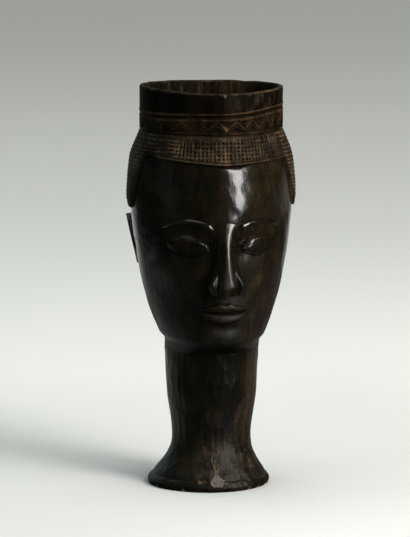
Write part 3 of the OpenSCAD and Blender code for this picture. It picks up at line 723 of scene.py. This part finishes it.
def cut_hair(x, y, z):
    """Shape the hair: the rows of its blank become the net, the border, its hidden back and the hollow."""
    deg, r = polar(x, y)
    inside, shelf, trench, net = (row_at(r, at) for at in (INNER_R, SHELF_R, TRENCH_R, OUTER_R))
    count = np.round(deg / 360 * CELLS * len(GRID))
    cell = np.floor(count / len(GRID))
    column = (cell % CELLS).astype(int)
    across = np.array(GRID)[(count - len(GRID) * cell).astype(int)]
    rng = np.random.default_rng(31)
    straight = (cell + across + rng.uniform(-0.1, 0.1, CELLS)[column]) * 360 / CELLS
    edge = SEAT_Z + 3 + np.max([hairline(off(straight, turn)) for turn in (-1.5, 0, 1.5)], axis=0)
    sx, sy = around(straight, OUTER_R)
    turned = straight + 0.2 * uneven(sx, sy, 0.7 * np.maximum(z, edge), 13, 35) * 360 / CELLS
    bx, by = around(turned, OUTER_R)
    from_front = np.abs(turned)

    low = SEAT_Z + hairline(off(turned, 0))
    z = COLLAR_Z - (COLLAR_Z - z) * (0.95 + 0.17 * step(60, 0, from_front))
    level = (z - NET_LOW) / CELL_H
    row = np.round(level)
    place = np.select([inside, shelf] + [row_at(r, at) for at, _ in BORDER],
                      [np.maximum(z, low), low] + [low + tall for _, tall in BORDER],
                      np.maximum(z, low + BORDER_H))
    above = place - low
    h = np.clip(place - SEAT_Z, 0, HEAD_H)

    side_panel = window(-121, -112, -50, -36, turned) + window(52, 62, 112, 121, turned)
    rib = step(*RIDGE, np.abs((across + 0.5) % 1 - 0.5)) * (1 - side_panel)
    furrow = step(*RIDGE, np.abs(level - row)) * (1 - 0.35 * window(30, 44, 54, 62, turned))
    ridge = np.maximum(rib, furrow)
    plain = 1.4 + 2.4 * window(-46, -32, -4, 12, turned) + window(-4, 12, 12, 42, turned)
    cut = step(0, 0.5, z - (low + BORDER_H)) * step(plain, plain + 0.4, COLLAR_Z - z) * net
    pitted = cut * (1 - ridge)
    depths = PIT * rng.uniform(0.5, 1.2, (CELLS, DRAWN_ROWS))
    depth = depths[column, np.clip(row, 0, DRAWN_ROWS - 1).astype(int)]
    border = window(-0.3, 0.5, 1.0, 1.4, above) * ~(inside | shelf)
    top = step(1.1, 0, COLLAR_Z - place)
    thin = 1.7 * window(56, 66, 119, 124, from_front) * (1 - np.sqrt(np.clip((above + 0.3) / 6, 0, 1)))
    outer = (skin(turned, h) + HAIR_T + 0.15 * uneven(bx, by, place, 14, 32) + 0.2 * border - 0.6 * trench
             - pitted * depth * (1 - 0.7 * side_panel) - 0.9 * top - 0.35 * step(0.3, 0, above) - thin)
    new_r = np.select([inside, shelf], [hollow(turned, place), skin(turned, h) - SUNK], outer)
    waver = 0.45 * uneven(bx, by, 0.6 * place, 20, 33) * step(1.5, 5, above)
    waver = waver * step(1, 4, COLLAR_Z - place) * ~inside

    right = step(-40, -56, turned)
    # The lower side panel on the figure's right is darker: a painted shade.
    worn = (0.235 + 0.05 * right - 0.2 * step(-44, -64, turned) * step(206, 190, place)
            + 0.1 * window(-48, -30, -6, 6, turned) + 0.2 * step(48, 64, turned)
            + 0.18 * uneven(bx, by, place, 17, 34) + 0.14 * uneven(bx, by, place, 4, 36)
            # Low on the keel the hair is paler: wear, and a painted highlight.
            + 0.3 * hump(turned, 1.5, 2.2) * step(219, 210, place))
    rubbed = np.maximum(cut * np.maximum(ridge, (0.5 + 0.12 * right) * side_panel), 0.7 * (1 - cut))
    wear = np.where(inside, HOLLOW_WEAR, rubbed * worn * (1 - 0.6 * top))
    wear = wear * (1 - pitted * (1 - 0.6 * side_panel)) + 0.1 * border * step(58, 48, from_front)
    wear = wear - 0.4 * pitted * (1 - side_panel)
    wear = wear * (1 - 0.75 * border * step(50, 60, from_front)) * ~trench
    x, y = around(turned, new_r)
    return x, y, place + waver, wear


wall = [(INNER_R, COLLAR_Z - BACK_DROP * i / 24) for i in range(25)]
levels = [NET_LOW + (row + part) * CELL_H for row in range(CELL_ROWS) for part in GRID]
net_rows = [(OUTER_R, z) for z in levels if NET_LOW <= z < NET_TOP] + [(OUTER_R, z) for z in TOP_ROWS]
border_rows = [(SHELF_R, NET_LOW)] + [(at, NET_LOW) for at, _ in BORDER]
hair = lathe("hair_carved", wall + border_rows + net_rows + [(INNER_R, COLLAR_Z)], len(GRID) * CELLS)
carve(hair, cut_hair)
carved_wood = old_wood("carved_wood", dark=(0.006, 0.0046, 0.0026, 1), brown=(0.019, 0.0118, 0.006, 1),
                       rubbed=(0.098, 0.065, 0.037, 1), shine=0.1, marks=0.3)
fit(hair, carved_wood, 50, "hair")


# Collar: the band of the block above the hair, with a zigzag line between two incised lines and a small
# three-sided chip cut into the middle of each field beside it.
# Two rounded mouldings with a groove between them close it off below the plain rim.
TEETH, TEETH_START, COLLAR_STEP, COLLAR_H = 24, 1.8, 0.6, 14.0
COLLAR_TOP, BAND_LOW, LINE_LOW = 237.9, 224.9, 227.4
LINE_HALF_W, INCISED_W, BAND_R, BAND_OUT = 0.95, 0.6, 45.5, 0.35
# Heights of the two mouldings, the groove and the band's edge below the collar's top.
MOULDINGS, MOULDING_HALF, GROOVE, GROOVE_HALF, BAND_TOP = (0.8, 4.1), 0.75, 2.45, 0.95, 4.9
LIP_R = 46


def collar_top(deg):
    """Height of the line where the collar ends and the plain rim begins: it climbs to the figure's left."""
    return COLLAR_TOP + 2.6 * window(0, 58, 120, 175, deg) - 1.1 * window(-175, -130, -70, 0, deg)


def cut_collar(x, y, z):
    """Shape the collar: the zigzag with its lines and chips, and the mouldings, which fade at the sides."""
    deg, r = polar(x, y)
    inside = row_at(r, INNER_R)
    top = collar_top(deg)
    new_z = COLLAR_Z + (z - COLLAR_Z) * (top - COLLAR_Z) / COLLAR_H
    bx, by = around(deg, LIP_R)
    plain = plan(deg, RIM_HALF_W - COLLAR_STEP, RIM_FRONT - COLLAR_STEP, RIM_HALF_W - COLLAR_STEP, KEEL)
    plain = plain + 0.5 * hump(np.abs(deg), 0, 4, 1)

    tooth = (deg - TEETH_START) / 360 * TEETH + 0.13 * uneven(bx, by, 0, 24, 41) * step(2, 14, np.abs(deg))
    pitch = math.tau * BAND_R / TEETH
    high = top - BAND_TOP
    swing = high - 0.4 - LINE_LOW + 0.35 * uneven(bx, by, 0, 13, 42)
    zigzag = LINE_LOW + swing * 2 * np.abs(tooth - np.round(tooth))
    from_line = np.abs(new_z - zigzag) / np.hypot(1, 2 * swing / pitch)
    edge = np.minimum(new_z - BAND_LOW, high + 0.3 - new_z)
    incised = np.clip(1 - np.abs(from_line - LINE_HALF_W - INCISED_W / 2) / INCISED_W, 0, 1)
    chip = np.clip(np.minimum(from_line - LINE_HALF_W - 1.1, edge - 0.7), 0, 0.9)
    pit = (0.6 * incised + 0.9 * chip) * (0.8 + 0.2 * step(-40, -5, deg) + 0.25 * step(0, 15, deg))
    pit = pit * step(0, 0.25, edge)

    moulding = sum(hump(top - new_z, below, MOULDING_HALF) for below in MOULDINGS)
    groove = hump(top - new_z, GROOVE, GROOVE_HALF)
    bottom = step(0.8, 0, new_z - COLLAR_Z)
    fade = 1 - 0.7 * step(48, 72, np.abs(deg))
    relief = (0.45 * moulding - 0.95 * groove) * fade - pit - 0.8 * bottom
    relief = relief + 0.12 * uneven(bx, by, new_z, 12, 43)
    r = np.where(inside, hollow(deg, new_z), plain + BAND_OUT + relief)

    worn = 0.1 + 0.1 * uneven(bx, by, new_z, 15, 44) + 0.13 * step(-5, 12, deg) + 0.08 * step(-18, -40, deg)
    # Along the keel the zigzag's line is paler: wear, and a painted highlight.
    worn = worn + 0.5 * hump(deg, 0.8, 2.2) * step(LINE_HALF_W + 0.3, LINE_HALF_W, from_line)
    wear = worn * (1 - 0.95 * step(0.05, 0.4, pit)) * (1 - groove) * (1 - 0.8 * bottom) + 0.1 * moulding
    x, y = around(deg, r)
    return x, y, new_z, np.where(inside, HOLLOW_WEAR, wear)


wall = [(INNER_R, COLLAR_Z + part * COLLAR_H) for part in (1, 0.5, 0)]
band = [(OUTER_R, z) for z in np.linspace(COLLAR_Z, COLLAR_Z + COLLAR_H, 49)]
collar = lathe("collar_zigzag", wall + band + wall[:1], 24 * TEETH)
carve(collar, cut_collar)
collar_wood = old_wood("collar_wood", dark=(0.0025, 0.0015, 0.0005, 1), brown=(0.0105, 0.0054, 0.002, 1),
                       rubbed=(0.087, 0.049, 0.021, 1), shine=0.07, marks=0.3)
fit(collar, collar_wood, 50, "collar")


# Rim: the plain thin lip of the cup, of the block's wood, pared upright with a knife that left faint flats.
# Drinking has rubbed its edge pale, and a corner has chipped off at the keel.
FLATS_OUTSIDE, FLATS_INSIDE = 52, 44
RIM_LOW, RIM_H, RIM_SPAN, LIP_LOW, LIP_H = 236, 14, 10, 249.2, 0.8
# Chips in the lip as angle, half length, depth and how pale.
LIP_CHIPS = [(0.3, 0.9, 0.7, 0.8), (22, 1.6, 0.15, 0.3), (140, 5.0, 0.5, 0.5), (-120, 3.5, 0.4, 0.45)]


def cut_rim(x, y, z):
    """Shape the rim: it stands on the collar's climbing top, and its lip is uneven, rubbed and chipped."""
    deg, r = polar(x, y)
    low = collar_top(deg)
    bx, by = around(deg, LIP_R)
    sideways = np.sin(np.radians(deg))
    tilt = sideways ** 2 - 0.45 * sideways + 0.22 * uneven(bx, by, 0, 25, 51)
    new_z = low + (z - RIM_LOW) / RIM_H * (MOUTH_Z + tilt - low)
    plain = plan(deg, RIM_HALF_W, RIM_FRONT, RIM_HALF_W, KEEL) + 0.9 * hump(np.abs(deg), 0, 5, 1) - 0.35
    through = (OUTER_R - r) / RIM_SPAN
    outer = (plain + 0.1 * (whittled(deg, new_z, FLATS_OUTSIDE, 52) - 0.5)
             + 0.14 * uneven(bx, by, 0.5 * new_z, 9, 53))
    inner = (plain - RIM_WALL + 0.25 * (whittled(deg, new_z, FLATS_INSIDE, 54) - 0.5)
             + 0.15 * uneven(bx, by, new_z, 11, 55))
    inner = np.where(z < RIM_LOW + 1, hollow(deg, low), inner)
    new_r = outer + (inner - outer) * through

    marks = step(-0.5, 0.9, uneven(bx, by, 0.25 * new_z, 5, 56))
    wear_out = 0.01 + (0.03 + 0.17 * step(-4, 8, deg) + 0.06 * step(-48, -66, deg)) * (0.35 + 0.65 * marks)
    # The hollow's wall is rubbed in streaks, and paler on its back towards +X: a painted light.
    wear_in_and_painted_light = (0.13 + 0.12 * step(0.1, 0.9, uneven(bx, by, 0.1 * new_z, 7, 57))
               + 0.2 * window(80, 100, 145, 175, deg))
    wear_lip = 0.26 + 0.14 * step(-20, 30, deg) + 0.16 * uneven(bx, by, new_z, 10, 58)
    wear = np.maximum(np.where(through < 0.5, wear_out, wear_in_and_painted_light), step(247.5, 249.6, z) * wear_lip)
    for at, half_l, deep, pale in LIP_CHIPS:
        along = np.radians(off(deg, at)) * LIP_R
        bite = hump(along, 0, half_l) * step(245.5, 249, z) * step(1.1, 0.1, through)
        new_z = new_z - deep * bite * step(247.5, MOUTH_Z, z)
        new_r = new_r - 0.7 * deep * bite * step(0.7, 0, through)
        wear = np.maximum(wear, pale * step(0.2, 0.7, bite))
    x, y = around(deg, new_r)
    return x, y, new_z, wear


outside = [(OUTER_R, z) for z in np.linspace(RIM_LOW, LIP_LOW, 23)]
over = [(OUTER_R - RIM_SPAN * t, LIP_LOW + LIP_H * math.sin(math.pi * t) ** 0.5)
        for t in (0.08, 0.2, 0.35, 0.5, 0.65, 0.8, 0.92)]
inside = [(OUTER_R - RIM_SPAN, z) for z in np.linspace(LIP_LOW, RIM_LOW, 23)]
rim = lathe("rim_pared", outside + over + inside + outside[:1], 420)
carve(rim, cut_rim)
rim_wood = old_wood("rim_wood", dark=(0.0011, 0.0008, 0.0003, 1), brown=(0.0044, 0.0028, 0.001, 1),
                    rubbed=(0.075, 0.051, 0.028, 1), shine=0.06, marks=0.6)
fit(rim, rim_wood, 45, "rim")


# Floor: the studio's wide pale table, of matt board, on which the cup stands. It isn't part of the cup.
# Its glow is painted light, a pool brightest round the cup that fades to grey away from it, with painted
# shade close round the cup, and its board keeps the cup's shadow from the lamps. To the polished wood, its
# front is a painted dark reflection, as if black card lay there, and only its back and sides are mirrored.
TABLE_SIZE = 24
bpy.ops.object.select_all(action="DESELECT")
bpy.ops.mesh.primitive_grid_add(x_subdivisions=8, y_subdivisions=8, size=TABLE_SIZE)
floor = bpy.context.object
floor.name = floor.data.name = "studio_floor"
table, pale = bare_material("studio_table")
place = pale.node("ShaderNodeTexCoord", {}, {}, "Object")
away = pale.node("ShaderNodeVectorMath", {"operation": "LENGTH"}, {0: place}, "Value")
east, back = (pale.node("ShaderNodeSeparateXYZ", {}, {"Vector": place}, axis) for axis in "XY")

# The glow is painted light: dimmer beside the cup, lighter in a ring, lighter at the front right, darker at
# the front left, and fading to grey far off.
sides = (east.between(0.06, 0.16) + east.between(-0.06, -0.16)) * (1 - away.between(0.3, 0.6))
ring = away.between(0.28, 0.45) - away.between(0.5, 1.1)
front = back.between(-0.02, -0.14) * (east.between(-0.1, 0.06) * 0.08 - 0.025)
tone = (0.47 - sides * 0.04 + ring * 0.05 - away.between(0.15, 1.6) * 0.115 - away.between(1.5, 3.6) * 0.055
        + front)
direct, mirrored, through = (pale.node("ShaderNodeLightPath", {}, {}, ray)
                             for ray in ("Is Camera Ray", "Is Glossy Ray", "Is Transmission Ray"))
seen = pale.math("MAXIMUM", direct, pale.math("MAXIMUM", mirrored, through))
# Ambient occlusion, cubed, dims the glow close round the cup: a painted contact shade.
open_sky = pale.node("ShaderNodeAmbientOcclusion", {"samples": 12}, {"Distance": 0.3}, "AO")
glow = pale.node("ShaderNodeEmission", {}, {"Color": (0.965, 1, 0.92, 1),
                                            "Strength": seen * tone * open_sky * open_sky * open_sky})
lit = pale.node("ShaderNodeBsdfDiffuse", {}, {"Color": (0.66, 0.71, 0.767, 1)})
board = pale.node("ShaderNodeAddShader", {}, {0: lit, 1: glow})

# To the polished wood the floor ahead of the cup is near black, a painted dark reflection; only chosen
# regions behind and beside the cup are mirrored.
turned = pale.math("DIVIDE", back, away)
left_side = east.between(0.03, -0.03)
right_side = 1 - left_side
behind = turned.between(0.68, 0.97)
beside = left_side * turned.between(-0.1, 0.45) * 0.7 + right_side * turned.between(0.35, 0.95)
close = beside * (1 - away.between(0.24, 0.6))
horizon = right_side * turned.between(0.1, 0.6) * away.between(1.0, 1.6) * 0.4
ahead = 1 - pale.math("MAXIMUM", behind, pale.math("MAXIMUM", close, horizon))
black = pale.node("ShaderNodeBsdfDiffuse", {}, {"Color": (0.02, 0.02, 0.02, 1)})
board_and_dark_reflection = pale.node("ShaderNodeMixShader", {}, {0: mirrored * ahead, 1: board, 2: black})
pale.node("ShaderNodeOutputMaterial", {}, {"Surface": board_and_dark_reflection})
floor.data.materials.append(table)


# Studio light: a narrow softbox and a broad one round it light the cup from the camera's right, with a cool
# glow from its left, a weak panel behind and a dim room. A tall strip, a pale sweep, a ceiling and a window
# are there for the polished wood to mirror, and light nothing.
CUP_MIDDLE = 0.13
# Each lamp as name, angle, angle above the table, distance, width, height, watts and colour.
MIRRORED_LAMPS = [("glare_softbox", 36.5, 24, 1.5, 0.34, 1.25, 21, (1, 0.985, 0.96)),
                  ("pale_sweep", -178, 20, 2.2, 3.2, 1.4, 10, (0.7, 0.94, 1)),
                  ("ceiling", -62, 76, 1.8, 1.2, 1.2, 3.8, (0.94, 1, 0.98)),
                  ("left_window", -82, 12, 2.0, 0.55, 1.1, 0.12, (0.74, 0.96, 1))]
LIGHTING_LAMPS = [("side_softbox", 38, 26, 2.2, 0.7, 1.4, 48, (1, 0.92, 0.8)),
                  ("broad_softbox", 44, 26, 2.2, 2.4, 1.4, 30, (1, 0.92, 0.8)),
                  ("left_glow", -70, 3, 2.0, 0.6, 0.4, 10, (0.55, 0.93, 1)),
                  ("back_panel", -155, 35, 2.0, 1.2, 1.2, 3, (0.98, 0.99, 1))]


def softbox(name, deg, up, away, wide, tall, watts, colour):
    """A flat lamp aimed at the middle of the cup, which the camera doesn't see."""
    a, e = math.radians(deg), math.radians(up)
    x, y = away * math.sin(a) * math.cos(e), -away * math.cos(a) * math.cos(e)
    bpy.ops.object.light_add(type="AREA", location=(x, y, CUP_MIDDLE + away * math.sin(e)),
                             rotation=(math.pi / 2 - e, 0, a))
    lamp = bpy.context.object
    lamp.name = lamp.data.name = name
    lamp.data.shape, lamp.data.size, lamp.data.size_y = "RECTANGLE", wide, tall
    lamp.data.energy, lamp.data.color = watts, colour
    lamp.visible_camera = False
    return lamp


for lamp in MIRRORED_LAMPS:
    softbox(*lamp).visible_diffuse = False
for lamp in LIGHTING_LAMPS:
    softbox(*lamp).visible_glossy = False
bpy.context.scene.world = bpy.data.worlds.new("dim_room")
bpy.context.scene.world.use_nodes = True
room = bpy.context.scene.world.node_tree.nodes["Background"]
room.inputs["Color"].default_value = (0.018, 0.022, 0.02, 1)


# Camera: a long lens at the photograph's angle, a little above the cup and to the figure's right.
# Its distance and tilt come from the ellipses of the rim and the base.
CAMERA_DEG, CAMERA_AWAY, CAMERA_Z, CAMERA_DOWN, CAMERA_TURN = -10.0, 2.411, 0.495, 8.48, 0.0957
FOCAL_PX, IMAGE_H, SENSOR_H = 3892, 537, 24
angle = math.radians(CAMERA_DEG)
bpy.ops.object.camera_add(location=(CAMERA_AWAY * math.sin(angle), -CAMERA_AWAY * math.cos(angle), CAMERA_Z),
                          rotation=(math.radians(90 - CAMERA_DOWN), 0, angle + math.radians(CAMERA_TURN)))
camera = bpy.context.object
camera.data.sensor_fit, camera.data.sensor_height = "VERTICAL", SENSOR_H
camera.data.lens = SENSOR_H * FOCAL_PX / IMAGE_H
camera.data.clip_end = 50
bpy.context.scene.camera = camera
bpy.context.scene.view_settings.view_transform = "Standard"
